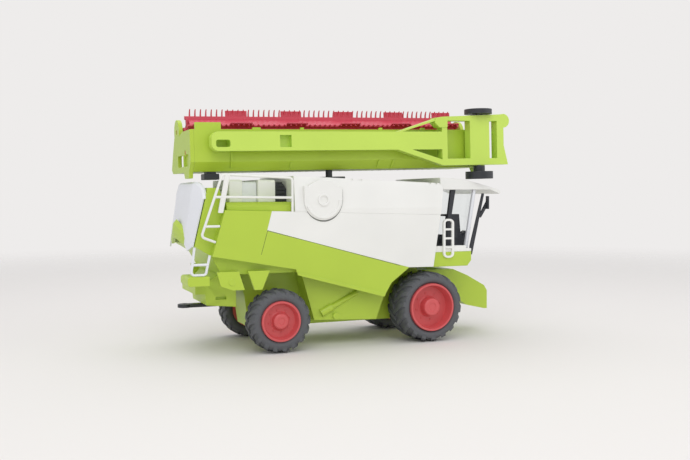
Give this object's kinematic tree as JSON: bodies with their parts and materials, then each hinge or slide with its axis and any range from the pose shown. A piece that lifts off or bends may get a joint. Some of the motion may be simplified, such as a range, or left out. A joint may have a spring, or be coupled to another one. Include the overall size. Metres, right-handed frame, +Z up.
{
  "type": "toy combine harvester",
  "caption": "Toy combine harvester on rolling wheels, its cutting header with tined reel stowed over the roof on its transport carriage.",
  "frame": {"origin": "on the floor, under the middle of the whole toy's box", "axes": "+X to the machine's front, +Y to its left, +Z up"},
  "size_m": [0.3172, 0.1168, 0.2156],
  "materials": {
    "green_plastic": "moulded, semi-gloss lime green",
    "white_plastic": "moulded, semi-gloss white",
    "mint_plastic": "moulded, translucent pale green",
    "black_plastic": "moulded, satin black",
    "red_plastic": "moulded, semi-gloss red",
    "tyre_rubber": "soft vinyl, dark grey",
    "axle_steel": "drawn rod",
    "clear_plastic": "clear moulded",
    "grey_plastic": "moulded, satin grey"
  },
  "bodies": {
    "machine": {"body_core": "green_plastic", "lower_hull": "green_plastic", "rear_chute": "green_plastic", "tow_hitch": "black_plastic", "drop_bracket_right": "green_plastic", "drop_bracket_left": "green_plastic", "side_panel_right": "green_plastic", "side_panel_left": "green_plastic", "wedge_panel_right": "white_plastic", "wedge_panel_left": "white_plastic", "grain_tank": "white_plastic", "tank_lids": "white_plastic", "screen_cover": "white_plastic", "engine_deck": "green_plastic", "engine_housing": "white_plastic", "fluid_tank": "mint_plastic", "deck_grille": "black_plastic", "deck_railing": "white_plastic", "rear_ladder": "white_plastic", "rear_step": "green_plastic", "cab_platform": "green_plastic", "cab_sill": "white_plastic", "cab_frame": "black_plastic", "windscreen": "clear_plastic", "cab_roof": "white_plastic", "cab_seat": "black_plastic", "steering_column": "black_plastic", "cab_ladder_right": "white_plastic", "cab_ladder_left": "white_plastic", "mirror_arm_right": "black_plastic", "mirror_arm_left": "black_plastic", "auger_turret": "green_plastic"},
    "front_wheels": {"front_axle": "axle_steel", "front_rim_right": "red_plastic", "front_rim_left": "red_plastic", "front_tyre_right": "tyre_rubber", "front_tyre_left": "tyre_rubber"},
    "rear_wheels": {"rear_axle": "axle_steel", "rear_rim_right": "red_plastic", "rear_rim_left": "red_plastic", "rear_tyre_right": "tyre_rubber", "rear_tyre_left": "tyre_rubber"},
    "rear_flap": {"rear_hood": "white_plastic", "hood_deflector": "green_plastic"},
    "feeder": {"feeder_house": "green_plastic"},
    "grain_spout": {"unloading_auger": "green_plastic"},
    "header": {"header_trough": "green_plastic", "header_end_rear": "green_plastic", "header_end_front": "green_plastic", "knife_bar": "grey_plastic", "header_feet": "black_plastic", "carriage_frame": "green_plastic"},
    "header_reel": {"reel": "red_plastic"},
    "header_auger": {"intake_auger": "red_plastic"},
    "carriage_wheels": {"carriage_axle": "axle_steel", "carriage_wheel_low": "black_plastic", "carriage_wheel_high": "black_plastic"}
  },
  "joints": [
    {"name": "front_wheels_roll", "type": "hinge", "parent": "machine", "child": "front_wheels", "pos_m": [0.0715, 0, 0.0315], "axis": [0, 1, 0], "continuous": true},
    {"name": "rear_wheels_roll", "type": "hinge", "parent": "machine", "child": "rear_wheels", "pos_m": [-0.0705, 0, 0.027], "axis": [0, 1, 0], "continuous": true},
    {"name": "rear_flap_lift", "type": "hinge", "parent": "machine", "child": "rear_flap", "pos_m": [-0.1352, 0, 0.1345], "axis": [0, 1, 0], "range_deg": [0, 20]},
    {"name": "feeder_tilt", "type": "hinge", "parent": "machine", "child": "feeder", "pos_m": [0.099, 0, 0.05], "axis": [0, -1, 0], "range_deg": [0, 6]},
    {"name": "grain_spout_swing", "type": "hinge", "parent": "machine", "child": "grain_spout", "pos_m": [0.066, 0.054, 0.136], "axis": [0, 0, -1], "range_deg": [0, 90]},
    {"name": "header_lift_off", "type": "slide", "parent": "machine", "child": "header", "axis": [0, 0, 1], "range_m": [0, 0.06]},
    {"name": "reel_spin", "type": "hinge", "parent": "header", "child": "header_reel", "pos_m": [0.00118, 0.022, 0.19164], "axis": [0.9997, 0, 0.0227], "continuous": true},
    {"name": "header_auger_spin", "type": "hinge", "parent": "header", "child": "header_auger", "pos_m": [0.00163, -0.012, 0.17204], "axis": [0.9997, 0, 0.0227], "continuous": true},
    {"name": "carriage_wheels_roll", "type": "hinge", "parent": "header", "child": "carriage_wheels", "pos_m": [0.12841, -0.042, 0.18292], "axis": [-0.0227, 0, 0.9997], "continuous": true}
  ]
}
